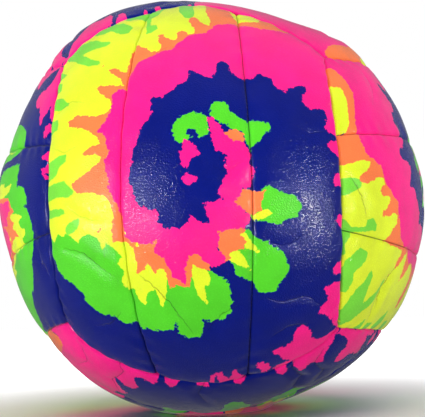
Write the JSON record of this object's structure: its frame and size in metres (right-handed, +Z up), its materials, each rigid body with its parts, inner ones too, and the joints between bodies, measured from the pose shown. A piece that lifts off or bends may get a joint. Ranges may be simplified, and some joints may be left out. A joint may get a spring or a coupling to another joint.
{
  "type": "juggling ball",
  "caption": "Soft stitched juggling ball with a cover of curved leatherette strips in a tie-dye print over a seed-filled inner bag.",
  "frame": {"origin": "middle of the flat patch that the ball rests on, on the bottom group's middle strip", "axes": "+Z up through the ball's centre, -Y towards the front group of strips, +X towards the right group"},
  "size_m": [0.07, 0.07, 0.0684],
  "materials": {
    "leather_yellow": "printed soft leatherette with a fine pebble grain and a satin gloss, mostly yellow, green and orange in the tie-dye print",
    "leather_pink": "printed soft leatherette with a fine pebble grain and a satin gloss, mostly hot pink with orange and yellow in the tie-dye print",
    "leather_navy": "printed soft leatherette with a fine pebble grain and a satin gloss, mostly navy with pink edges in the tie-dye print",
    "thread": "waxed navy polyester sewing thread",
    "bag_cloth": "plain unbleached cotton weave",
    "seed": "dry golden millet seed, loose"
  },
  "bodies": {
    "root": {"front_left_panel": "leather_yellow", "front_middle_panel": "leather_pink", "front_right_panel": "leather_navy", "right_lower_panel": "leather_yellow", "right_middle_panel": "leather_pink", "right_upper_panel": "leather_navy", "top_back_panel": "leather_yellow", "top_middle_panel": "leather_pink", "top_front_panel": "leather_navy", "left_lower_panel": "leather_yellow", "left_middle_panel": "leather_pink", "left_upper_panel": "leather_navy", "bottom_back_panel": "leather_yellow", "bottom_middle_panel": "leather_pink", "bottom_front_panel": "leather_navy", "back_left_panel": "leather_yellow", "back_middle_panel": "leather_pink", "back_right_panel": "leather_navy", "front_left_side_thread": "thread", "front_left_seam_thread": "thread", "front_right_seam_thread": "thread", "front_right_side_thread": "thread", "right_lower_side_thread": "thread", "right_lower_seam_thread": "thread", "right_upper_seam_thread": "thread", "right_upper_side_thread": "thread", "top_back_side_thread": "thread", "top_back_seam_thread": "thread", "top_front_seam_thread": "thread", "top_front_side_thread": "thread", "left_lower_side_thread": "thread", "left_lower_seam_thread": "thread", "left_upper_seam_thread": "thread", "left_upper_side_thread": "thread", "bottom_back_side_thread": "thread", "bottom_back_seam_thread": "thread", "bottom_front_seam_thread": "thread", "bottom_front_side_thread": "thread", "back_left_side_thread": "thread", "back_left_seam_thread": "thread", "back_right_seam_thread": "thread", "back_right_side_thread": "thread", "closing_thread": "thread", "inner_bag": "bag_cloth", "seed_fill": "seed"}
  },
  "joints": []
}
